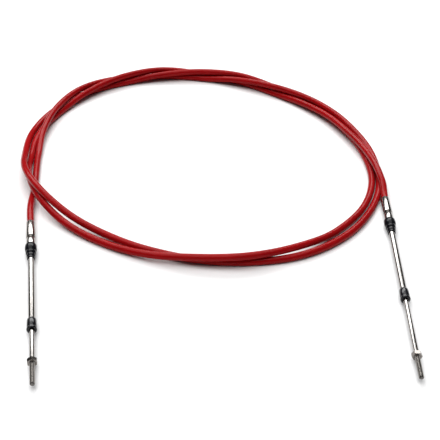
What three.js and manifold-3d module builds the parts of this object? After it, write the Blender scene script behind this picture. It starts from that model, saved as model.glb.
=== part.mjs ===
// Push-pull boat control cable, lying in a loose coil of two and a half turns.
// Millimetres, +Z up. The origin is on the floor, in the middle of the box around the two end fittings.
import * as THREE from 'three';
import { mergeVertices } from 'three/addons/utils/BufferGeometryUtils.js';
import Module from 'manifold-3d';

// Cable
const jacketRadius = 7.94 / 2;
const jacketSides = 12;
const stepsPerPoint = 4 / 3;

// Crimped hub, measured along the fitting's axis from the hub's rear face
const hubRadius = 4.95;
const hubRearRadius = 4.7;
const hubRearTaper = 4;
const hubVisibleLength = 41.5;
const socketDepth = 24;
const clampGrooveCentre = 28.5;
const clampGrooveWidth = 3.2;
const clampGrooveRadius = 3.95;
const collarRadius = 4.75;
const noseLength = 2.2;
const noseRadius = 4.65;

// Swivel: a ball on the support tube, held in the front of the hub
const ballRadius = 3.9;
const pivotBehindNoseFace = 2.6;
const swivelMouthRadius = 3.75;

// Swivel boot
const bootLength = 23;
const bootBulbRadius = 6.35;
const bootBulbLength = 10;
const bootMidRibRadius = 5.4;
const bootEndRibRadius = 4.65;
const bootRibLength = 5;
const bootRibRelief = 0.7;
const bootTipRadius = 4.0;
const bootNoseClearance = 0.7;

// Support tube
const tubeRadius = 6.35 / 2;
const tubeVisibleLength = 94;

// Wiper seal
const sealLength = 15.5;
const sealRadius = 4.7;
const sealShoulderRadius = 3.8;
const sealShoulderLength = 2.2;
const sealLipRadius = 5.0;
const sealLipLength = 3;
const sealNeckRadius = 4.2;
const sealNeckLength = 1.4;
const sealCapThickness = 5;

// Sliding rod with its threaded end
const rodRadius = 4.76 / 2;
const threadRadius = 4.83 / 2;
const threadBeyondNut = 27;
const threadBehindNut = 1.2;
const tipChamfer = 0.9;
const travel = 76.2;
const shortestExposure = 19.35;
const guidedAtFullTravel = 20;
const restExposureA = 40.1;

// Jam nut
const nutAcrossFlats = 8.73;
const nutThickness = 4.2;
const nutChamfer = 0.5;

// Clearances
const gap = 0.3;
const slidingClearance = 0.3;

const roundSides = 32;

// Where the fittings lie: the middle of each hub's rear face, and the way the fitting points.
// A heading of 0 points along -Y, and a positive one turns towards +X.
const axisHeight = bootBulbRadius;
const endA = { x: -196, y: 97.9, heading: 9.7, exposure: restExposureA, nutTurn: 0 };
const endB = {
  x: 195.3,
  y: 143.8,
  heading: -1.6,
  exposure: 2 * shortestExposure + travel - restExposureA,
  nutTurn: 30
};

// The coil is a slightly oval loop. Its points are 15 degrees apart, clockwise from the left.
// Each is [lane, height]: how far outside the oval the cable runs, and how high its middle is.
const coilCentre = { x: -16.4, y: 239.6 };
const coilRadius = 206;
const coilStretch = 19;
const stretchDirection = 127;
const pointSpacing = 15;
const firstTurn = [
  [-7, 4.2], [-8.8, 9.6], [-5.6, 13.2], [0.7, 13.0], [3.5, 7.7], [-0.6, 4.0],
  [-5.4, 4.0], [-6.1, 10.1], [-2.2, 13.1], [4.9, 12.8], [7.3, 12.6], [6.6, 11.6],
  [7.7, 8.4], [7.6, 4.0], [5.3, 4.0], [3.4, 4.0], [0.3, 4.0], [-5.7, 4.0],
  [-8.9, 4.0], [-9, 4.0], [-4.8, 5.6], [3.4, 10.8], [11.6, 20.3], [13.2, 20.0]
];
const secondTurn = [
  [7.6, 10.8], [6, 5.4], [3, 4.0], [-0.3, 4.0], [-4.8, 4.0], [-7.6, 9.8],
  [-3.2, 12.8], [2.5, 12.9], [5.4, 8.1], [6.9, 4.0], [6.1, 4.0], [2.6, 4.0],
  [0.3, 4.0], [-1, 4.0], [-4.1, 4.0], [-8.4, 4.4], [-8.3, 9.4], [-4.1, 13.0],
  [-2.5, 11.4], [1.6, 6.4], [6.8, 4.0], [12.4, 6.0], [14.8, 12.4], [10.2, 11.6]
];
const lastHalfTurn = [
  [1.4, 4.0], [-2.6, 4.0], [-7.2, 4.6], [-7.6, 9.3], [-3.8, 13.0], [1, 13.0],
  [3.3, 6.5], [0.6, 4.0], [-2.7, 4.0], [-1.8, 6.9], [-0.7, 9.4], [-2, 11.2],
  [0.5, 12.8], [8, 12.9]
];

// Where the cable nears each hub: [distance ahead of the hub's rear face, height of its middle]
const leadA = [[socketDepth - 2, axisHeight], [-3, axisHeight], [-28, 6.1]];
const underCrossing = { fromCentreX: -187.4, fromCentreY: -66, height: 4.2 };
const leadB = [[-27, 10.9], [-6, 7.0], [8, axisHeight], [socketDepth - 2, axisHeight]];

const radians = THREE.MathUtils.degToRad;

function ahead(end, distance, height) {
  const heading = radians(end.heading);
  return new THREE.Vector3(
    end.x + Math.sin(heading) * distance,
    end.y - Math.cos(heading) * distance,
    height
  );
}

function coilPoints() {
  return [...firstTurn, ...secondTurn, ...lastHalfTurn].map(([lane, height], index) => {
    const angle = 180 - pointSpacing * index;
    const stretch = coilStretch * Math.cos(2 * radians(angle - stretchDirection));
    const radius = coilRadius + stretch + lane;
    return new THREE.Vector3(
      coilCentre.x + radius * Math.cos(radians(angle)),
      coilCentre.y + radius * Math.sin(radians(angle)),
      height
    );
  });
}

// The cable's middle line. Its steps follow the points, not the distance along it, so that the
// facets of neighbouring turns run side by side. It never dips below the floor.
class CableRoute extends THREE.CatmullRomCurve3 {
  getPoint(t, target = new THREE.Vector3()) {
    super.getPoint(t, target);
    target.z = Math.max(target.z, jacketRadius);
    return target;
  }

  getPointAt(u, target) {
    return this.getPoint(u, target);
  }

  getTangentAt(u, target) {
    return this.getTangent(u, target);
  }
}

function conduit() {
  const points = [
    ...leadA.map(([distance, height]) => ahead(endA, distance, height)),
    new THREE.Vector3(
      coilCentre.x + underCrossing.fromCentreX,
      coilCentre.y + underCrossing.fromCentreY,
      underCrossing.height
    ),
    ...coilPoints(),
    ...leadB.map(([distance, height]) => ahead(endB, distance, height))
  ];
  const section = new THREE.Shape();
  for (let side = 0; side < jacketSides; side += 1) {
    const angle = (side / jacketSides) * 2 * Math.PI;
    const corner = [jacketRadius * Math.cos(angle), jacketRadius * Math.sin(angle)];
    if (side === 0) section.moveTo(...corner);
    else section.lineTo(...corner);
  }
  section.closePath();
  return new THREE.ExtrudeGeometry(section, {
    steps: Math.round((points.length - 1) * stepsPerPoint),
    bevelEnabled: false,
    extrudePath: new CableRoute(points, false, 'catmullrom', 0.5)
  });
}

// A turned piece, from [radius, distance along the axis] pairs that close on themselves
function turned(profile) {
  const points = [...profile, profile[0]].map(([radius, along]) => new THREE.Vector2(radius, along));
  return new THREE.LatheGeometry(points, roundSides);
}

// Stations along each fitting, from the hub's rear face
const noseFace = hubVisibleLength + noseLength;
const pivot = noseFace - pivotBehindNoseFace;
const bootEnd = hubVisibleLength + bootLength;
const sealStart = bootEnd + tubeVisibleLength;
const sealEnd = sealStart + sealLength;
const tubeEnd = sealEnd - sealCapThickness;
const tubeBore = rodRadius + slidingClearance;

function crimpedHub() {
  const grooveStart = clampGrooveCentre - clampGrooveWidth / 2;
  const grooveEnd = clampGrooveCentre + clampGrooveWidth / 2;
  const socketRadius = jacketRadius + gap;
  const swivelRadius = ballRadius + gap;
  const swivelBottom = pivot - ballRadius - gap;
  return turned([
    [socketRadius, 0],
    [hubRearRadius, 0],
    [hubRadius, hubRearTaper],
    [hubRadius, grooveStart],
    [clampGrooveRadius, grooveStart],
    [clampGrooveRadius, grooveEnd],
    [collarRadius, grooveEnd],
    [collarRadius, hubVisibleLength - gap],
    [noseRadius, hubVisibleLength],
    [noseRadius, noseFace],
    [swivelMouthRadius, noseFace],
    [swivelRadius, pivot],
    [swivelRadius, swivelBottom],
    [tubeBore, swivelBottom],
    [tubeBore, socketDepth],
    [socketRadius, socketDepth]
  ]);
}

function swivelBoot() {
  const start = hubVisibleLength + gap;
  const cavityRadius = noseRadius + bootNoseClearance;
  const cavityEnd = noseFace + bootNoseClearance;
  const boreRadius = tubeRadius + gap;
  const bulbEnd = hubVisibleLength + bootBulbLength;
  const midRibEnd = bulbEnd + bootRibLength;
  const endRibEnd = midRibEnd + bootRibLength;
  return turned([
    [cavityRadius, start],
    [bootBulbRadius - 0.6, start],
    [bootBulbRadius, start + 2],
    [bootBulbRadius, bulbEnd - 3],
    [bootMidRibRadius, bulbEnd - 0.6],
    [bootMidRibRadius - bootRibRelief, bulbEnd],
    [bootMidRibRadius, bulbEnd + 1],
    [bootMidRibRadius, midRibEnd - 1.6],
    [bootEndRibRadius - bootRibRelief / 2, midRibEnd],
    [bootEndRibRadius, midRibEnd + 1],
    [bootEndRibRadius, endRibEnd - 1.4],
    [bootTipRadius, endRibEnd],
    [bootTipRadius, bootEnd],
    [boreRadius, bootEnd],
    [boreRadius, cavityEnd + bootNoseClearance],
    [cavityRadius, cavityEnd]
  ]);
}

function supportTube() {
  const neck = Math.sqrt(ballRadius ** 2 - tubeRadius ** 2);
  const ballBack = Math.sqrt(ballRadius ** 2 - (tubeBore + gap) ** 2);
  const ballSteps = 8;
  const backAngle = Math.atan2(-ballBack, tubeBore + gap);
  const neckAngle = Math.atan2(neck, tubeRadius);
  const ball = [];
  for (let step = 0; step <= ballSteps; step += 1) {
    const angle = backAngle + ((neckAngle - backAngle) * step) / ballSteps;
    ball.push([ballRadius * Math.cos(angle), pivot + ballRadius * Math.sin(angle)]);
  }
  return turned([
    [tubeBore, pivot - ballBack],
    ...ball,
    [tubeRadius, tubeEnd],
    [tubeBore, tubeEnd]
  ]);
}

function wiperSeal() {
  const overTube = tubeRadius + gap;
  const lipStart = sealEnd - sealLipLength;
  const neckStart = lipStart - sealNeckLength;
  return turned([
    [overTube, sealStart],
    [sealShoulderRadius, sealStart],
    [sealRadius, sealStart + sealShoulderLength],
    [sealRadius, neckStart - 0.5],
    [sealNeckRadius, neckStart],
    [sealNeckRadius, lipStart],
    [sealLipRadius, lipStart + 0.7],
    [sealLipRadius, sealEnd - 1],
    [sealLipRadius - 0.9, sealEnd],
    [tubeBore, sealEnd],
    [tubeBore, tubeEnd + gap],
    [overTube, tubeEnd + gap]
  ]);
}

function endRod(nutStart) {
  const rear = nutStart - (shortestExposure + travel) - sealCapThickness - guidedAtFullTravel;
  const threadStart = nutStart - threadBehindNut;
  const tip = nutStart + nutThickness + threadBeyondNut;
  return turned([
    [0, rear],
    [rodRadius - 0.4, rear],
    [rodRadius, rear + 0.4],
    [rodRadius, threadStart],
    [threadRadius, threadStart],
    [threadRadius, tip - tipChamfer],
    [threadRadius - tipChamfer, tip],
    [0, tip]
  ]);
}

const wasm = await Module();
wasm.setup();

function toManifold(geometry) {
  const bare = geometry.clone();
  bare.deleteAttribute('normal');
  bare.deleteAttribute('uv');
  const merged = mergeVertices(bare, 1e-4);
  return new wasm.Manifold(new wasm.Mesh({
    numProp: 3,
    vertProperties: new Float32Array(merged.attributes.position.array),
    triVerts: new Uint32Array(merged.index.array)
  }));
}

function fromManifold(solid) {
  const mesh = solid.getMesh();
  const geometry = new THREE.BufferGeometry();
  geometry.setAttribute('position', new THREE.BufferAttribute(mesh.vertProperties, 3));
  geometry.setIndex(new THREE.BufferAttribute(mesh.triVerts, 1));
  geometry.computeVertexNormals();
  return geometry;
}

// A hexagonal nut, its corners turned off by a cone on both faces, with a clear bore for the thread
function jamNut(nutStart, turn) {
  const cornerRadius = nutAcrossFlats / Math.sqrt(3);
  const faceRadius = nutAcrossFlats / 2 - 0.1;
  const nutEnd = nutStart + nutThickness;
  const hexagon = new THREE.CylinderGeometry(cornerRadius, cornerRadius, nutThickness, 6);
  hexagon.rotateY(radians(turn));
  hexagon.translate(0, nutStart + nutThickness / 2, 0);
  const turnedBlank = turned([
    [threadRadius + gap, nutStart],
    [faceRadius, nutStart],
    [cornerRadius + gap, nutStart + nutChamfer],
    [cornerRadius + gap, nutEnd - nutChamfer],
    [faceRadius, nutEnd],
    [threadRadius + gap, nutEnd]
  ]);
  return fromManifold(toManifold(hexagon).intersect(toManifold(turnedBlank)));
}

// Materials
function finish(color, metalness, roughness) {
  return new THREE.MeshStandardMaterial({ color, metalness, roughness });
}

const jacketFinish = () => finish(0xb01a1c, 0, 0.3);
const nickelFinish = () => finish(0xc9c6bf, 1, 0.25);
const steelFinish = () => finish(0xb9bbbd, 1, 0.22);
const rubberFinish = () => finish(0x15161b, 0, 0.45);

function named(name, geometry, material) {
  const mesh = new THREE.Mesh(geometry, material);
  mesh.name = name;
  return mesh;
}

// One end fitting, built along +Y from the hub's rear face, then laid where it belongs
function endFitting(suffix, end) {
  const nutStart = sealEnd + end.exposure;
  const fitting = new THREE.Group();
  fitting.add(
    named(`crimped_hub_${suffix}`, crimpedHub(), nickelFinish()),
    named(`swivel_boot_${suffix}`, swivelBoot(), rubberFinish()),
    named(`support_tube_${suffix}`, supportTube(), steelFinish()),
    named(`wiper_seal_${suffix}`, wiperSeal(), rubberFinish()),
    named(`end_rod_${suffix}`, endRod(nutStart), steelFinish()),
    named(`jam_nut_${suffix}`, jamNut(nutStart, end.nutTurn), steelFinish())
  );
  fitting.position.set(end.x, end.y, axisHeight);
  fitting.rotation.z = radians(180 + end.heading);
  return fitting;
}

const cable = new THREE.Group();
cable.add(named('conduit', conduit(), jacketFinish()));
cable.add(endFitting('a', endA));
cable.add(endFitting('b', endB));

export default cable;
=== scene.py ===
"""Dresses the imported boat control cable: jacket, hubs, boots, tubes, seals, rods and nuts."""

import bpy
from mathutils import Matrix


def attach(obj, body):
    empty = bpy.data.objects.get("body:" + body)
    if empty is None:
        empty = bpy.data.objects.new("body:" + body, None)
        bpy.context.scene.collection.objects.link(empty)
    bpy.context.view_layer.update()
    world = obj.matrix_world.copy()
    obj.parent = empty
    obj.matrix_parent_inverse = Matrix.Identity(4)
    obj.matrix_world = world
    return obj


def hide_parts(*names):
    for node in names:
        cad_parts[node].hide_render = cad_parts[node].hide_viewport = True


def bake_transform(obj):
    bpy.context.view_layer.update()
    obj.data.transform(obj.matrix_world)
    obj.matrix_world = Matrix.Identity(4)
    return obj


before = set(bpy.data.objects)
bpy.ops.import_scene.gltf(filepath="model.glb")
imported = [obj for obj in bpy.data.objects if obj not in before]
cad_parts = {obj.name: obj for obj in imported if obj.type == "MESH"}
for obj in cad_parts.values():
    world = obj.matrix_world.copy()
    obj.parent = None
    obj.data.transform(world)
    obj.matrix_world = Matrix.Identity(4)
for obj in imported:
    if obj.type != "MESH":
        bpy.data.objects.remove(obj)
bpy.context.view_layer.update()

import math

import bmesh
import bpy
from bpy.props import FloatProperty, FloatVectorProperty, PointerProperty
from mathutils import Matrix, Vector

bl_info = {
    "name": "Boat Control Cable",
    "version": (1, 0, 0),
    "blender": (4, 5, 0),
    "location": "View3D > Sidebar > Control Cable",
    "description": "Builds a coiled push-pull control cable with swivelling ends on a studio floor",
    "category": "Object",
}

# Height of the fittings' axes above the floor
AXIS_HEIGHT = 0.00635
# Each fitting: the place of the hub's rear face, the way it points in degrees (0 is along -Y, positive
# turns towards +X), the rod seen between the seal and the nut, and the nut's turn in degrees
ENDS = {
    "a": {"x": -0.196, "y": 0.0979, "heading": 9.7, "exposure": 0.0401, "nut_turn": 0},
    "b": {"x": 0.1953, "y": 0.1438, "heading": -1.6, "exposure": 0.0748, "nut_turn": 30},
}

# The coil's points are 15 degrees apart, clockwise from the left, as (lane, height) in millimetres;
# a lane is the distance outwards from the coil's mean oval
COIL_CENTRE = (-0.0164, 0.2396)
COIL_RADIUS = 0.206
COIL_STRETCH = 0.019
STRETCH_DIRECTION = 127
POINT_SPACING = 15
FIRST_TURN = [
    (-7, 4.2), (-8.8, 9.6), (-5.6, 13.2), (0.7, 13.0), (3.5, 7.7), (-0.6, 4.0),
    (-5.4, 4.0), (-6.1, 10.1), (-2.2, 13.1), (4.9, 12.8), (7.3, 12.6), (6.6, 11.6),
    (7.7, 8.4), (7.6, 4.0), (5.3, 4.0), (3.4, 4.0), (0.3, 4.0), (-5.7, 4.0),
    (-8.9, 4.0), (-9, 4.0), (-4.8, 5.6), (3.4, 10.8), (11.6, 20.3), (13.2, 20.0),
]
SECOND_TURN = [
    (7.6, 10.8), (6, 5.4), (3, 4.0), (-0.3, 4.0), (-4.8, 4.0), (-7.6, 9.8),
    (-3.2, 12.8), (2.5, 12.9), (5.4, 8.1), (6.9, 4.0), (6.1, 4.0), (2.6, 4.0),
    (0.3, 4.0), (-1, 4.0), (-4.1, 4.0), (-8.4, 4.4), (-8.3, 9.4), (-4.1, 13.0),
    (-2.5, 11.4), (1.6, 6.4), (6.8, 4.0), (12.4, 6.0), (14.8, 12.4), (10.2, 11.6),
]
LAST_HALF_TURN = [
    (1.4, 4.0), (-2.6, 4.0), (-7.2, 4.6), (-7.6, 9.3), (-3.8, 13.0), (1, 13.0),
    (3.3, 6.5), (0.6, 4.0), (-2.7, 4.0), (-1.8, 6.9), (-0.7, 9.4), (-2, 11.2),
    (0.5, 12.8), (8, 12.9),
]
# Near the hubs: (distance ahead of the hub's rear face, height), in metres. The crossing in between is
# measured from the coil's centre
LEAD_A = [(0.022, AXIS_HEIGHT), (-0.003, AXIS_HEIGHT), (-0.028, 0.0061)]
UNDER_CROSSING = (-0.1874, -0.066, 0.0042)
LEAD_B = [(-0.027, 0.0109), (-0.006, 0.007), (0.008, AXIS_HEIGHT), (0.022, AXIS_HEIGHT)]

# A 60 degree thread's depth, as a share of its pitch
THREAD_DEPTH = 0.6134
# Vertices closer than this, in metres, are one
MERGE_DISTANCE = 1e-7
# Edges that turn less than this, in degrees, are shaded smooth
SMOOTH_BELOW = 38
# The Mix node's colour sockets
MIX_FIRST, MIX_SECOND, MIX_RESULT = 6, 7, 2

# Tints of what has settled or rubbed off, and a painted shade for the bottom of the hub's groove
DUSTY_RED = (0.42, 0.12, 0.11)
# Painted shade for the bottom of the hub's clamp groove
GROOVE_PAINTED_SHADE = (0.05, 0.045, 0.04)
WORN_RUBBER = (0.02, 0.021, 0.025)
RUBBER_DUST = (0.25, 0.25, 0.26)

# The studio, in metres, degrees, watts and millimetres of lens
FLOOR_HALF_SIZE = 60.0
FLOOR_SHIFT = (0.0, 2.0, -0.00005)
SKY_STRENGTH = 3.0
SKY_SPREAD = 70
SKY_PLACE = (-0.2, 0.1, 2.0)
PANEL_SIZE = (3.0, 1.1)
PANEL_POWER = 62.0
PANEL_PLACE = (-0.35, 2.2, 1.85)
WORLD_STRENGTH = 0.07
SENSOR_WIDTH = 36.0
FOCAL_LENGTH = 76.5
CAMERA_PLACE = (0.0096, -0.7254, 0.6)
CAMERA_PITCH = 35.6


def length(name, metres, description):
    return FloatProperty(name=name, default=metres, min=0.0, precision=5, unit="LENGTH",
                         description=description)


def colour(name, value, description):
    return FloatVectorProperty(name=name, default=value, size=3, min=0.0, max=1.0, subtype="COLOR",
                               description=description)


class ControlCableSizes(bpy.types.PropertyGroup):
    jacket_diameter: length("Jacket diameter", 0.00794, "Outside of the plastic jacket")
    hub_diameter: length("Hub diameter", 0.0099, "Outside of the crimped hub")
    hub_length: length("Hub length", 0.0415, "From the jacket's border to the swivel boot")
    groove_centre: length("Groove centre", 0.0285, "Middle of the clamp groove, from the hub's rear face")
    groove_width: length("Groove width", 0.0032, "Width of the clamp groove")
    groove_diameter: length("Groove diameter", 0.0079, "Bottom of the clamp groove")
    boot_length: length("Boot length", 0.023, "Length of the swivel boot")
    tube_diameter: length("Tube diameter", 0.00635, "Outside of the support tube")
    tube_length: length("Tube length", 0.094, "Bare tube between the boot and the seal")
    seal_length: length("Seal length", 0.0155, "Length of the wiper seal")
    rod_diameter: length("Rod diameter", 0.00476, "Diameter of the sliding rod")
    thread_diameter: length("Thread diameter", 0.00483, "Outside of the thread")
    thread_pitch: length("Thread pitch", 0.00079375, "Distance between two turns of the thread")
    thread_length: length("Thread beyond the nut", 0.027, "Bare thread in front of the jam nut")
    nut_across_flats: length("Nut across flats", 0.00873, "Size of the jam nut's hexagon")
    nut_thickness: length("Nut thickness", 0.0042, "Thickness of the jam nut")


class ControlCableFinishes(bpy.types.PropertyGroup):
    jacket_red: colour("Jacket red", (0.32, 0.0035, 0.005), "Colour of the plastic jacket")
    nickel: colour("Nickel plate", (0.40, 0.38, 0.36), "Colour of the plated hub")
    stainless: colour("Stainless steel", (0.36, 0.345, 0.33), "Colour of the tube and the rod")
    thread_steel: colour("Thread steel", (0.26, 0.245, 0.23), "Colour of the thread's flanks")
    nut_steel: colour("Nut steel", (0.24, 0.22, 0.205), "Colour of the jam nuts")
    rubber_black: colour("Rubber black", (0.005, 0.0055, 0.008), "Colour of the boot and the seal")
    floor_white: colour("Floor white", (0.86, 0.86, 0.86), "Colour of the studio floor")


def sizes():
    return bpy.context.scene.control_cable_sizes


def finishes():
    return bpy.context.scene.control_cable_finishes


# Shader node groups

def new_group(name, inputs, outputs):
    group = bpy.data.node_groups.new(name, "ShaderNodeTree")
    for label, kind, value in inputs:
        socket = group.interface.new_socket(name=label, in_out="INPUT", socket_type=kind)
        if value is not None:
            socket.default_value = value
    for label, kind in outputs:
        group.interface.new_socket(name=label, in_out="OUTPUT", socket_type=kind)
    return group, group.nodes.new("NodeGroupInput"), group.nodes.new("NodeGroupOutput")


def add_node(tree, kind, settings=None, values=None, links=None):
    """Adds a node, sets its options and plain socket values, and links sockets into it."""
    node = tree.nodes.new(kind)
    for key, value in (settings or {}).items():
        setattr(node, key, value)
    for key, value in (values or {}).items():
        node.inputs[key].default_value = value
    for key, source in (links or {}).items():
        tree.links.new(source, node.inputs[key])
    return node


def product(tree, first, second):
    node = add_node(tree, "ShaderNodeMath", {"operation": "MULTIPLY"}, links={0: first, 1: second})
    return node.outputs[0]


def surface_grain():
    """Fine pebbling: a height, and a mask for broad colour variation."""
    found = bpy.data.node_groups.get("Surface grain")
    if found:
        return found
    group, given, result = new_group(
        "Surface grain",
        [("Place", "NodeSocketVector", None), ("Fine scale", "NodeSocketFloat", 2500.0),
         ("Broad scale", "NodeSocketFloat", 30.0)],
        [("Height", "NodeSocketFloat"), ("Mottle", "NodeSocketFloat")],
    )
    fine = add_node(group, "ShaderNodeTexNoise", values={"Detail": 3.0, "Roughness": 0.55},
                    links={"Vector": given.outputs["Place"], "Scale": given.outputs["Fine scale"]})
    broad = add_node(group, "ShaderNodeTexNoise", values={"Detail": 4.0, "Roughness": 0.6},
                     links={"Vector": given.outputs["Place"], "Scale": given.outputs["Broad scale"]})
    spread = add_node(group, "ShaderNodeMapRange", values={"From Min": 0.35, "From Max": 0.65},
                      links={"Value": broad.outputs["Fac"]})
    group.links.new(fine.outputs["Fac"], result.inputs["Height"])
    group.links.new(spread.outputs["Result"], result.inputs["Mottle"])
    return group


def edge_wear():
    """Rubbed edges: 1 where the surface turns sharply outwards, broken up by noise."""
    found = bpy.data.node_groups.get("Edge wear")
    if found:
        return found
    group, given, result = new_group(
        "Edge wear",
        [("Place", "NodeSocketVector", None), ("Breakup scale", "NodeSocketFloat", 600.0),
         ("Amount", "NodeSocketFloat", 0.6)],
        [("Mask", "NodeSocketFloat")],
    )
    geometry = add_node(group, "ShaderNodeNewGeometry")
    edge = add_node(group, "ShaderNodeMapRange", values={"From Min": 0.52, "From Max": 0.62},
                    links={"Value": geometry.outputs["Pointiness"]})
    broken = add_node(group, "ShaderNodeTexNoise", values={"Detail": 3.0},
                      links={"Vector": given.outputs["Place"], "Scale": given.outputs["Breakup scale"]})
    patch = add_node(group, "ShaderNodeMapRange", values={"From Min": 0.35, "From Max": 0.6},
                     links={"Value": broken.outputs["Fac"]})
    both = product(group, edge.outputs["Result"], patch.outputs["Result"])
    group.links.new(product(group, both, given.outputs["Amount"]), result.inputs["Mask"])
    return group


def tool_lines():
    """Fine lines left by turning, drawing or grinding: noise stretched by a scale for each direction."""
    found = bpy.data.node_groups.get("Tool lines")
    if found:
        return found
    group, given, result = new_group(
        "Tool lines",
        [("Place", "NodeSocketVector", None), ("Across", "NodeSocketVector", (400.0, 9000.0, 400.0))],
        [("Height", "NodeSocketFloat"), ("Streak", "NodeSocketFloat")],
    )
    stretched = add_node(group, "ShaderNodeVectorMath", {"operation": "MULTIPLY"},
                         links={0: given.outputs["Place"], 1: given.outputs["Across"]})
    lines = add_node(group, "ShaderNodeTexNoise", values={"Scale": 1.0, "Detail": 2.0, "Roughness": 0.7},
                     links={"Vector": stretched.outputs["Vector"]})
    streak = add_node(group, "ShaderNodeMapRange", values={"From Min": 0.3, "From Max": 0.7},
                      links={"Value": lines.outputs["Fac"]})
    group.links.new(lines.outputs["Fac"], result.inputs["Height"])
    group.links.new(streak.outputs["Result"], result.inputs["Streak"])
    return group


def settled_dust():
    """A thin film on what faces up, in patches."""
    found = bpy.data.node_groups.get("Settled dust")
    if found:
        return found
    group, given, result = new_group(
        "Settled dust",
        [("Place", "NodeSocketVector", None), ("Patch scale", "NodeSocketFloat", 90.0),
         ("Amount", "NodeSocketFloat", 0.15)],
        [("Mask", "NodeSocketFloat")],
    )
    geometry = add_node(group, "ShaderNodeNewGeometry")
    upward = add_node(group, "ShaderNodeSeparateXYZ", links={"Vector": geometry.outputs["Normal"]})
    facing = add_node(group, "ShaderNodeMapRange", values={"From Min": 0.3, "From Max": 1.0},
                      links={"Value": upward.outputs["Z"]})
    patches = add_node(group, "ShaderNodeTexNoise", values={"Detail": 5.0, "Roughness": 0.65},
                       links={"Vector": given.outputs["Place"], "Scale": given.outputs["Patch scale"]})
    both = product(group, facing.outputs["Result"], patches.outputs["Fac"])
    group.links.new(product(group, both, given.outputs["Amount"]), result.inputs["Mask"])
    return group


def use_group(tree, group, values=None, links=None):
    return add_node(tree, "ShaderNodeGroup", {"node_tree": group}, values, links)


def new_material(name, **principled):
    material = bpy.data.materials.new(name)
    material.use_nodes = True
    tree = material.node_tree
    shader = tree.nodes["Principled BSDF"]
    for key, value in principled.items():
        shader.inputs[key.replace("_", " ").title().replace("Ior", "IOR")].default_value = value
    return material, tree, shader


def mixed_colour(tree, factor, first, second):
    mix = add_node(tree, "ShaderNodeMix", {"data_type": "RGBA"})
    for socket, value in ((mix.inputs[MIX_FIRST], first), (mix.inputs[MIX_SECOND], second)):
        if isinstance(value, bpy.types.NodeSocket):
            tree.links.new(value, socket)
        else:
            socket.default_value = (*value, 1.0)
    tree.links.new(factor, mix.inputs[0])
    return mix.outputs[MIX_RESULT]


def ranged(tree, value, low, high):
    node = add_node(tree, "ShaderNodeMapRange", values={"To Min": low, "To Max": high},
                    links={"Value": value})
    return node.outputs["Result"]


def bumped(tree, shader, height, strength, distance):
    bump = add_node(tree, "ShaderNodeBump", values={"Strength": strength, "Distance": distance},
                    links={"Height": height})
    tree.links.new(bump.outputs["Normal"], shader.inputs["Normal"])


def fitting_place(tree):
    """The place on a fitting, in the fitting's own frame: Y runs along its axis."""
    return add_node(tree, "ShaderNodeAttribute", {"attribute_name": "fitting_place"}).outputs["Vector"]


def axis_radius(tree, place):
    """Distance from the fitting's axis."""
    across = add_node(tree, "ShaderNodeVectorMath", {"operation": "MULTIPLY"},
                      values={1: (1.0, 0.0, 1.0)}, links={0: place})
    radius = add_node(tree, "ShaderNodeVectorMath", {"operation": "LENGTH"},
                      links={0: across.outputs["Vector"]})
    return radius.outputs["Value"]


def jacket_material():
    material, tree, shader = new_material("Red plastic jacket", specular_ior_level=0.08, ior=1.48)
    place = add_node(tree, "ShaderNodeTexCoord").outputs["Object"]
    red = tuple(finishes().jacket_red)
    grain = use_group(tree, surface_grain(), {"Fine scale": 900.0, "Broad scale": 24.0}, {"Place": place})
    dust = use_group(tree, settled_dust(), {"Patch scale": 55.0, "Amount": 0.03}, {"Place": place})
    deep = tuple(0.82 * channel for channel in red)
    base = mixed_colour(tree, grain.outputs["Mottle"], deep, red)
    dusty = mixed_colour(tree, dust.outputs["Mask"], base, DUSTY_RED)
    tree.links.new(dusty, shader.inputs["Base Color"])
    tree.links.new(ranged(tree, grain.outputs["Mottle"], low=0.1, high=0.17), shader.inputs["Roughness"])
    bumped(tree, shader, grain.outputs["Height"], strength=0.06, distance=0.0001)
    return material


def metal_material(name, base, lines, roughness, line_strength, shade_radii=None):
    """A metal with tool lines; its painted shade, which darkens the bottom of a groove, thins out from the
    first of shade_radii to the second.
    """
    material, tree, shader = new_material(name, metallic=1.0)
    place = fitting_place(tree)
    marks = use_group(tree, tool_lines(), {"Across": lines}, {"Place": place})
    grain = use_group(tree, surface_grain(), {"Fine scale": 3000.0, "Broad scale": 160.0}, {"Place": place})
    wear = use_group(tree, edge_wear(), {"Breakup scale": 700.0, "Amount": 0.5}, {"Place": place})
    darker = tuple(0.88 * channel for channel in base)
    toned = mixed_colour(tree, grain.outputs["Mottle"], darker, base)
    bright = tuple(min(1.0, 1.2 * channel) for channel in base)
    worn = mixed_colour(tree, wear.outputs["Mask"], toned, bright)
    if shade_radii:
        low, high = shade_radii
        # Painted shade: the colour darkens towards the axis, most at the bottom of the groove
        painted_shade_amount = add_node(tree, "ShaderNodeMapRange",
                          values={"From Min": low, "From Max": high, "To Min": 0.85, "To Max": 0.0},
                          links={"Value": axis_radius(tree, place)})
        worn = mixed_colour(tree, painted_shade_amount.outputs["Result"], worn, GROOVE_PAINTED_SHADE)
    tree.links.new(worn, shader.inputs["Base Color"])
    tree.links.new(ranged(tree, marks.outputs["Streak"], *roughness), shader.inputs["Roughness"])
    bumped(tree, shader, marks.outputs["Height"], strength=line_strength, distance=0.00005)
    return material


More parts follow.
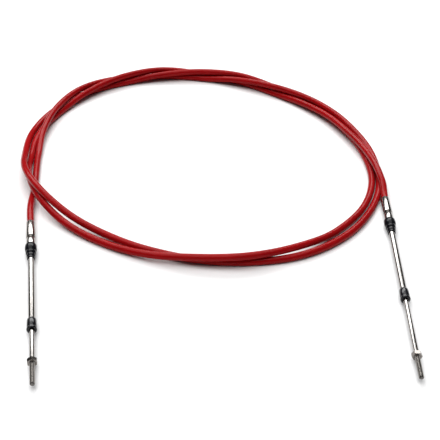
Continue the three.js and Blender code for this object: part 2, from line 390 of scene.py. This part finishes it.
def thread_material():
    material, tree, shader = new_material("Thread", metallic=1.0)
    place = fitting_place(tree)
    crest = sizes().thread_diameter / 2
    # Painted shade and highlight: the colour runs from dark at the thread's roots to light at its crests, by
    # the distance from the axis
    painted_shade_depth = 0.0005
    height = add_node(tree, "ShaderNodeMapRange",
                      values={"From Min": crest - painted_shade_depth, "From Max": crest},
                      links={"Value": axis_radius(tree, place)})
    grain = use_group(tree, surface_grain(), {"Fine scale": 4000.0, "Broad scale": 260.0}, {"Place": place})
    steel = tuple(finishes().thread_steel)
    painted_root_shade = tuple(0.12 * channel for channel in steel)
    bright = tuple(1.35 * channel for channel in steel)
    groove = mixed_colour(tree, height.outputs["Result"], painted_root_shade, bright)
    tree.links.new(mixed_colour(tree, grain.outputs["Mottle"], groove, steel), shader.inputs["Base Color"])
    tree.links.new(ranged(tree, height.outputs["Result"], low=0.3, high=0.12), shader.inputs["Roughness"])
    bumped(tree, shader, grain.outputs["Height"], strength=0.25, distance=0.00004)
    return material


def rubber_material(name, gloss):
    material, tree, shader = new_material(name, specular_ior_level=gloss, ior=1.5)
    place = fitting_place(tree)
    black = tuple(finishes().rubber_black)
    grain = use_group(tree, surface_grain(), {"Fine scale": 2600.0, "Broad scale": 140.0}, {"Place": place})
    wear = use_group(tree, edge_wear(), {"Breakup scale": 500.0, "Amount": 0.35}, {"Place": place})
    dust = use_group(tree, settled_dust(), {"Patch scale": 200.0, "Amount": 0.02}, {"Place": place})
    deep = tuple(0.7 * channel for channel in black)
    soft = mixed_colour(tree, grain.outputs["Mottle"], deep, black)
    worn = mixed_colour(tree, wear.outputs["Mask"], soft, WORN_RUBBER)
    dusty = mixed_colour(tree, dust.outputs["Mask"], worn, RUBBER_DUST)
    tree.links.new(dusty, shader.inputs["Base Color"])
    tree.links.new(ranged(tree, grain.outputs["Mottle"], low=0.1, high=0.18), shader.inputs["Roughness"])
    bumped(tree, shader, grain.outputs["Height"], strength=0.3, distance=0.00006)
    return material


# Shapes

def station(mark):
    """The distance from the hub's rear face to the start of a piece, as the CAD model has it."""
    size = sizes()
    boot = size.hub_length
    tube = boot + size.boot_length
    seal = tube + size.tube_length
    return {"boot": boot, "tube": tube, "seal": seal, "seal_end": seal + size.seal_length}[mark]


def end_matrix(end):
    turn = Matrix.Rotation(math.radians(180 + end["heading"]), 4, "Z")
    return Matrix.Translation((end["x"], end["y"], AXIS_HEIGHT)) @ turn


def on_axis(end, along):
    return end_matrix(end) @ Vector((0.0, along, 0.0))


def round_edges(bm, radius, segments=3, least_angle=25):
    sharp = [edge for edge in bm.edges
             if edge.is_manifold and edge.calc_face_angle(0.0) > math.radians(least_angle)]
    bmesh.ops.bevel(bm, geom=sharp, offset=radius, offset_type="OFFSET", segments=segments, profile=0.5,
                    affect="EDGES", material=-1, clamp_overlap=True)


def turned(outline, sides=64, closed=True, edge_radius=0.0):
    """Spins a half outline of (radius, station) points about the fitting's axis."""
    bm = bmesh.new()
    verts = [bm.verts.new((radius, along, 0.0)) for radius, along in outline]
    ends = verts[1:] + verts[:1] if closed else verts[1:]
    edges = [bm.edges.new(pair) for pair in zip(verts, ends)]
    bmesh.ops.spin(bm, geom=verts + edges, cent=(0, 0, 0), axis=(0, 1, 0), dvec=(0, 0, 0),
                   angle=math.tau, steps=sides, use_merge=True)
    bmesh.ops.remove_doubles(bm, verts=bm.verts[:], dist=MERGE_DISTANCE)
    bmesh.ops.recalc_face_normals(bm, faces=bm.faces[:])
    if edge_radius:
        round_edges(bm, edge_radius)
    return bm


def shifted(points, start):
    """Outline points given in millimetres from a station, as metres from the hub's rear face."""
    return [(radius / 1000, start + along / 1000) for radius, along in points]


def placed_piece(bm, name, end, materials, node):
    """Turns a bmesh in the fitting's frame into a finished object in the row frame."""
    layer = bm.verts.layers.float_vector.new("fitting_place")
    for vert in bm.verts:
        vert[layer] = vert.co
    bmesh.ops.transform(bm, matrix=end_matrix(end), verts=bm.verts[:])
    for face in bm.faces:
        face.smooth = True
    mesh = bpy.data.meshes.new(name)
    bm.to_mesh(mesh)
    bm.free()
    mesh.set_sharp_from_angle(angle=math.radians(SMOOTH_BELOW))
    for material in materials:
        mesh.materials.append(material)
    piece = bpy.data.objects.new(name, mesh)
    bpy.context.scene.collection.objects.link(piece)
    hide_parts(node)
    return piece


def coil_points():
    points = []
    for index, (lane, height) in enumerate(FIRST_TURN + SECOND_TURN + LAST_HALF_TURN):
        angle = math.radians(180 - POINT_SPACING * index)
        stretch = COIL_STRETCH * math.cos(2 * (angle - math.radians(STRETCH_DIRECTION)))
        radius = COIL_RADIUS + stretch + lane / 1000
        points.append(Vector((COIL_CENTRE[0] + radius * math.cos(angle),
                              COIL_CENTRE[1] + radius * math.sin(angle), height / 1000)))
    return points


def lead_points(end, lead):
    points = []
    for along, height in lead:
        point = on_axis(end, along)
        point.z = height
        points.append(point)
    return points


def route_points():
    across, along, height = UNDER_CROSSING
    crossing = Vector((COIL_CENTRE[0] + across, COIL_CENTRE[1] + along, height))
    return [*lead_points(ENDS["a"], LEAD_A), crossing, *coil_points(), *lead_points(ENDS["b"], LEAD_B)]


def threaded_stud(start, tip):
    """A screw thread from start to tip with a chamfered end, as a closed solid."""
    size = sizes()
    pitch = size.thread_pitch
    crest = size.thread_diameter / 2
    root = crest - THREAD_DEPTH * pitch
    around = 28
    run_in = 2
    turns = math.ceil((tip - start) / pitch) + run_in + 1
    chamfer = 0.0009
    seam = 4e-6
    bm = bmesh.new()
    # One ridge, with its places along the axis as shares of the pitch
    outline = [(root, 0.0), (root, 0.167), (crest, 0.521), (crest, 0.646), (root, 1.0)]
    verts = [bm.verts.new((radius, start + (share - run_in) * pitch, 0.0)) for radius, share in outline]
    edges = [bm.edges.new(pair) for pair in zip(verts, verts[1:])]
    bmesh.ops.spin(bm, geom=verts + edges, cent=(0, 0, 0), axis=(0, 1, 0), dvec=(0, pitch / around, 0),
                   angle=math.tau * turns, steps=around * turns, use_merge=False)
    bmesh.ops.remove_doubles(bm, verts=bm.verts[:], dist=seam)
    for cut, side in ((start, -1), (tip, 1)):
        bmesh.ops.bisect_plane(bm, geom=bm.verts[:] + bm.edges[:] + bm.faces[:], dist=MERGE_DISTANCE,
                               plane_co=(0, cut, 0), plane_no=(0, side, 0), clear_outer=True)
    rims = [edge for edge in bm.edges if edge.is_boundary]
    bmesh.ops.holes_fill(bm, edges=rims, sides=0)
    bmesh.ops.recalc_face_normals(bm, faces=bm.faces[:])
    for vert in bm.verts:
        over = vert.co.y - (tip - chamfer)
        radius = math.hypot(vert.co.x, vert.co.z)
        allowed = crest - max(0.0, over)
        if radius > allowed:
            vert.co.x *= allowed / radius
            vert.co.z *= allowed / radius
    return bm


def join_bmesh(target, other, material_index):
    """Adds one bmesh's faces to another, with a material slot of their own."""
    before = set(target.faces)
    carrier = bpy.data.meshes.new("carrier")
    other.to_mesh(carrier)
    other.free()
    target.from_mesh(carrier)
    bpy.data.meshes.remove(carrier)
    for face in target.faces:
        if face not in before:
            face.material_index = material_index


# Operators

class CONTROLCABLE_OT_stage(bpy.types.Operator):
    """Lays the floor and sets the lights and the camera"""
    bl_idname = "control_cable.stage"
    bl_label = "Studio floor, lights and camera"

    def execute(self, context):
        scene = context.scene
        bm = bmesh.new()
        bmesh.ops.create_grid(bm, x_segments=1, y_segments=1, size=FLOOR_HALF_SIZE)
        bmesh.ops.translate(bm, vec=FLOOR_SHIFT, verts=bm.verts[:])
        mesh = bpy.data.meshes.new("studio_floor")
        bm.to_mesh(mesh)
        bm.free()
        floor = bpy.data.objects.new("studio_floor", mesh)
        scene.collection.objects.link(floor)
        material, tree, shader = new_material("Studio floor", roughness=0.7)
        place = add_node(tree, "ShaderNodeTexCoord").outputs["Object"]
        grain = use_group(tree, surface_grain(), {"Fine scale": 400.0, "Broad scale": 2.0},
                          {"Place": place})
        white = tuple(finishes().floor_white)
        faint = tuple(0.985 * channel for channel in white)
        tone = mixed_colour(tree, grain.outputs["Mottle"], faint, white)
        tree.links.new(tone, shader.inputs["Base Color"])
        mesh.materials.append(material)

        sky = bpy.data.lights.new("overhead_sky", "SUN")
        sky.energy = SKY_STRENGTH
        sky.angle = math.radians(SKY_SPREAD)
        panel = bpy.data.lights.new("back_panel", "AREA")
        panel.shape = "RECTANGLE"
        panel.size, panel.size_y = PANEL_SIZE
        panel.energy = PANEL_POWER
        for light, place in ((sky, SKY_PLACE), (panel, PANEL_PLACE)):
            lamp = bpy.data.objects.new(light.name, light)
            lamp.location = place
            lamp.rotation_euler = (-Vector(place)).to_track_quat("-Z", "Y").to_euler()
            scene.collection.objects.link(lamp)
        world = scene.world or bpy.data.worlds.new("Studio")
        scene.world = world
        world.use_nodes = True
        background = world.node_tree.nodes["Background"]
        background.inputs["Color"].default_value = (1.0, 1.0, 1.0, 1.0)
        background.inputs["Strength"].default_value = WORLD_STRENGTH
        scene.view_settings.view_transform = "Standard"

        lens = bpy.data.cameras.new("camera")
        lens.sensor_fit = "HORIZONTAL"
        lens.sensor_width = SENSOR_WIDTH
        lens.lens = FOCAL_LENGTH
        camera = bpy.data.objects.new("camera", lens)
        camera.location = CAMERA_PLACE
        camera.rotation_euler = (math.radians(90 - CAMERA_PITCH), 0.0, 0.0)
        scene.collection.objects.link(camera)
        scene.camera = camera
        return {"FINISHED"}


class CONTROLCABLE_OT_jacket(bpy.types.Operator):
    """Lays the jacketed cable in its coil"""
    bl_idname = "control_cable.jacket"
    bl_label = "Jacketed cable"

    def execute(self, context):
        radius = sizes().jacket_diameter / 2
        points = route_points()
        line = bpy.data.curves.new("jacketed_cable", "CURVE")
        line.dimensions = "3D"
        line.resolution_u = 10
        line.bevel_depth = radius
        line.bevel_resolution = 10
        line.use_fill_caps = True
        spline = line.splines.new("BEZIER")
        spline.bezier_points.add(len(points) - 1)
        before = [2 * points[0] - points[1], *points[:-1]]
        after = [*points[1:], 2 * points[-1] - points[-2]]
        for knot, point, last, following in zip(spline.bezier_points, points, before, after):
            arriving = point - last
            leaving = following - point
            # The nearer neighbour counts for more, so uneven spacing leaves no kink
            heading = arriving.normalized() * leaving.length + leaving.normalized() * arriving.length
            heading.normalize()
            knot.handle_left_type = "FREE"
            knot.handle_right_type = "FREE"
            knot.co = point
            knot.handle_left = point - heading * arriving.length / 3
            knot.handle_right = point + heading * leaving.length / 3
            # No handle may pull the jacket into the floor
            if min(knot.handle_left.z, knot.handle_right.z) < radius:
                knot.handle_left.z = point.z
                knot.handle_right.z = point.z
        line.materials.append(jacket_material())
        cable = bpy.data.objects.new("jacketed_cable", line)
        context.scene.collection.objects.link(cable)
        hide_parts("conduit")
        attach(cable, "cable")
        return {"FINISHED"}


class CONTROLCABLE_OT_crimped_hubs(bpy.types.Operator):
    """Turns the plated hub crimped onto each end of the cable"""
    bl_idname = "control_cable.crimped_hubs"
    bl_label = "Crimped hubs"

    def execute(self, context):
        size = sizes()
        groove = size.groove_diameter / 2
        # How far above the groove's bottom its painted shade fades out
        groove_shade_fade = 0.0007
        finish = metal_material("Nickel-plated hub", tuple(finishes().nickel),
                                lines=(350.0, 7000.0, 350.0), roughness=(0.12, 0.22), line_strength=0.25,
                                shade_radii=(groove, groove + groove_shade_fade))
        outer = size.hub_diameter / 2
        low = size.groove_centre - size.groove_width / 2
        high = size.groove_centre + size.groove_width / 2
        front = size.hub_length
        jacket_bore, jacket_depth = 0.00402, 0.024
        rear, taper = 0.0047, 0.0012
        nose, nose_chamfer = 0.00475, 0.0003
        lip, lip_mouth, lip_end = 0.00465, 0.00375, front + 0.0022
        socket, socket_front, socket_back = 0.0042, front - 0.0004, front - 0.0046
        rod_bore = 0.00268
        for letter, end in ENDS.items():
            outline = [
                (jacket_bore, 0.0), (rear, 0.0), (outer, taper), (outer, low), (groove, low), (groove, high),
                (nose, high), (nose, front - nose_chamfer), (lip, front), (lip, lip_end),
                (lip_mouth, lip_end), (socket, socket_front), (socket, socket_back),
                (rod_bore, socket_back), (rod_bore, jacket_depth), (jacket_bore, jacket_depth),
            ]
            bm = turned(outline, sides=72, edge_radius=0.00018)
            hub = placed_piece(bm, f"plated_hub_{letter}", end, [finish],
                               f"crimped_hub_{letter}")
            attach(hub, "cable")
        return {"FINISHED"}


class CONTROLCABLE_OT_swivel_boots(bpy.types.Operator):
    """Moulds the ribbed rubber boot over each swivel"""
    bl_idname = "control_cable.swivel_boots"
    bl_label = "Swivel boots"

    def execute(self, context):
        finish = rubber_material("Moulded boot rubber", gloss=0.16)
        start = station("boot")
        for letter, end in ENDS.items():
            outline = shifted([
                (4.72, -0.1), (5.5, -0.1), (5.95, 0.4), (6.25, 1.8), (6.35, 3.8), (6.3, 6.4), (5.95, 8.1),
                (5.0, 9.3), (4.6, 9.9), (5.1, 10.5), (5.4, 11.2), (5.35, 13.4), (4.95, 14.5),
                (4.1, 15.1), (4.1, 15.5), (4.58, 16.0), (4.65, 17.0), (4.55, 18.8), (3.85, 19.7),
                (3.75, 20.2), (4.1, 20.8), (4.1, 22.5), (3.8, 23.0), (3.25, 23.0), (3.25, 8.6),
                (4.9, 7.4), (4.9, 2.6), (4.72, 2.3),
            ], start)
            bm = turned(outline, sides=72, edge_radius=0.0004)
            boot = placed_piece(bm, f"rubber_boot_{letter}", end, [finish],
                                f"swivel_boot_{letter}")
            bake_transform(boot)
        return {"FINISHED"}


class CONTROLCABLE_OT_support_tubes(bpy.types.Operator):
    """Draws the stainless support tube with its swivel ball at each end"""
    bl_idname = "control_cable.support_tubes"
    bl_label = "Support tubes"

    def execute(self, context):
        size = sizes()
        finish = metal_material("Drawn stainless tube", tuple(finishes().stainless),
                                lines=(2600.0, 90.0, 2600.0), roughness=(0.12, 0.24), line_strength=0.2)
        rod_gap = 0.0003
        rim = 0.0003
        seal_cap = 0.005
        arc_steps = 14
        outer = size.tube_diameter / 2
        bore = size.rod_diameter / 2 + rod_gap
        ball = 0.0039
        pivot = size.hub_length - 0.0004
        front = station("seal_end") - seal_cap
        back = math.acos((bore + rim) / ball)
        neck = math.acos(outer / ball)
        arc = [(neck + back) * step / arc_steps - back for step in range(arc_steps + 1)]
        for letter, end in ENDS.items():
            outline = [(bore, pivot - ball * math.sin(back))]
            outline += [(ball * math.cos(angle), pivot + ball * math.sin(angle)) for angle in arc]
            outline += [(outer, front), (bore, front)]
            bm = turned(outline, sides=64, edge_radius=0.00008)
            tube = placed_piece(bm, f"stainless_tube_{letter}", end, [finish],
                                f"support_tube_{letter}")
            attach(tube, f"tube_{letter}")
        return {"FINISHED"}


class CONTROLCABLE_OT_wiper_seals(bpy.types.Operator):
    """Moulds the rubber wiper seal on each tube's free end"""
    bl_idname = "control_cable.wiper_seals"
    bl_label = "Wiper seals"

    def execute(self, context):
        finish = rubber_material("Moulded seal rubber", gloss=0.4)
        start = station("seal")
        for letter, end in ENDS.items():
            outline = shifted([
                (3.2, 0.0), (3.8, 0.0), (4.5, 1.5), (4.7, 2.3), (4.7, 10.4), (4.5, 10.9), (4.2, 11.1),
                (4.2, 12.3), (4.85, 12.9), (5.0, 13.5), (5.0, 14.6), (4.7, 15.2), (4.1, 15.5), (2.7, 15.5),
                (2.46, 15.1), (2.46, 10.8), (3.2, 10.8),
            ], start)
            bm = turned(outline, sides=72, edge_radius=0.00025)
            seal = placed_piece(bm, f"rubber_seal_{letter}", end, [finish],
                                f"wiper_seal_{letter}")
            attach(seal, f"tube_{letter}")
        return {"FINISHED"}


class CONTROLCABLE_OT_end_rods(bpy.types.Operator):
    """Grinds each sliding rod and cuts its thread"""
    bl_idname = "control_cable.end_rods"
    bl_label = "End rods"

    def execute(self, context):
        size = sizes()
        steel = metal_material("Ground stainless rod", tuple(finishes().stainless),
                               lines=(500.0, 5200.0, 500.0), roughness=(0.1, 0.2), line_strength=0.15)
        thread = thread_material()
        radius = size.rod_diameter / 2
        root = size.thread_diameter / 2 - THREAD_DEPTH * size.thread_pitch
        longest_exposure, kept_in_tube = 0.09555, 0.025
        chamfer = 0.0004
        behind_nut = 0.0012
        overlap = 0.0005
        for letter, end in ENDS.items():
            nut = station("seal_end") + end["exposure"]
            rear = nut - longest_exposure - kept_in_tube
            shoulder = nut - behind_nut
            tip = nut + size.nut_thickness + size.thread_length
            outline = [(0.0, rear), (radius - chamfer, rear), (radius, rear + chamfer),
                       (radius, shoulder - chamfer), (root, shoulder), (0.0, shoulder)]
            bm = turned(outline, sides=56, closed=False, edge_radius=0.00005)
            join_bmesh(bm, threaded_stud(shoulder - overlap, tip), 1)
            rod = placed_piece(bm, f"threaded_rod_{letter}", end, [steel, thread],
                               f"end_rod_{letter}")
            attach(rod, f"rod_{letter}")
        return {"FINISHED"}


class CONTROLCABLE_OT_jam_nuts(bpy.types.Operator):
    """Cuts the hexagonal jam nut on each thread"""
    bl_idname = "control_cable.jam_nuts"
    bl_label = "Jam nuts"

    def execute(self, context):
        size = sizes()
        finish = metal_material("Plated nut", tuple(finishes().nut_steel),
                                lines=(2200.0, 2200.0, 2200.0), roughness=(0.14, 0.24), line_strength=0.25)
        inset, lead_in, thread_gap = 0.0001, 0.0003, 0.00005
        cut_distance = 1e-8
        flat = size.nut_across_flats / 2
        corner = flat / math.cos(math.pi / 6)
        chamfer = (corner - flat + inset) * math.tan(math.radians(30))
        bore = size.thread_diameter / 2 + thread_gap
        for letter, end in ENDS.items():
            low = station("seal_end") + end["exposure"]
            high = low + size.nut_thickness
            outline = [
                (bore + lead_in, low), (flat - inset, low), (corner, low + chamfer),
                (corner, high - chamfer), (flat - inset, high), (bore + lead_in, high),
                (bore, high - lead_in), (bore, low + lead_in),
            ]
            bm = turned(outline, sides=96)
            for side in range(6):
                angle = math.radians(60 * side + 30 + end["nut_turn"])
                normal = Vector((math.sin(angle), 0.0, math.cos(angle)))
                bmesh.ops.bisect_plane(bm, geom=bm.verts[:] + bm.edges[:] + bm.faces[:], dist=cut_distance,
                                       plane_co=normal * flat, plane_no=normal, clear_outer=True)
                rims = [edge for edge in bm.edges if edge.is_boundary]
                bmesh.ops.holes_fill(bm, edges=rims, sides=0)
            bmesh.ops.recalc_face_normals(bm, faces=bm.faces[:])
            nut = placed_piece(bm, f"hex_jam_nut_{letter}", end, [finish],
                               f"jam_nut_{letter}")
            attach(nut, f"rod_{letter}")
        return {"FINISHED"}


OPERATORS = (
    CONTROLCABLE_OT_stage,
    CONTROLCABLE_OT_jacket,
    CONTROLCABLE_OT_crimped_hubs,
    CONTROLCABLE_OT_swivel_boots,
    CONTROLCABLE_OT_support_tubes,
    CONTROLCABLE_OT_wiper_seals,
    CONTROLCABLE_OT_end_rods,
    CONTROLCABLE_OT_jam_nuts,
)


class CONTROLCABLE_PT_panel(bpy.types.Panel):
    """Sizes, finishes and the pieces to build"""
    bl_label = "Boat Control Cable"
    bl_idname = "CONTROLCABLE_PT_panel"
    bl_space_type = "VIEW_3D"
    bl_region_type = "UI"
    bl_category = "Control Cable"

    def draw(self, context):
        for group in (context.scene.control_cable_sizes, context.scene.control_cable_finishes):
            box = self.layout.box()
            for name in group.__annotations__:
                box.prop(group, name)
        for operator in OPERATORS:
            self.layout.operator(operator.bl_idname)


CLASSES = (ControlCableSizes, ControlCableFinishes, *OPERATORS, CONTROLCABLE_PT_panel)


def register():
    for cls in CLASSES:
        bpy.utils.register_class(cls)
    bpy.types.Scene.control_cable_sizes = PointerProperty(type=ControlCableSizes)
    bpy.types.Scene.control_cable_finishes = PointerProperty(type=ControlCableFinishes)


def unregister():
    del bpy.types.Scene.control_cable_finishes
    del bpy.types.Scene.control_cable_sizes
    for cls in reversed(CLASSES):
        bpy.utils.unregister_class(cls)


def main():
    register()
    bpy.ops.control_cable.stage()
    bpy.ops.control_cable.jacket()
    bpy.ops.control_cable.crimped_hubs()
    bpy.ops.control_cable.swivel_boots()
    bpy.ops.control_cable.support_tubes()
    bpy.ops.control_cable.wiper_seals()
    bpy.ops.control_cable.end_rods()
    bpy.ops.control_cable.jam_nuts()
    bpy.context.view_layer.update()


if __name__ == "__main__":
    main()
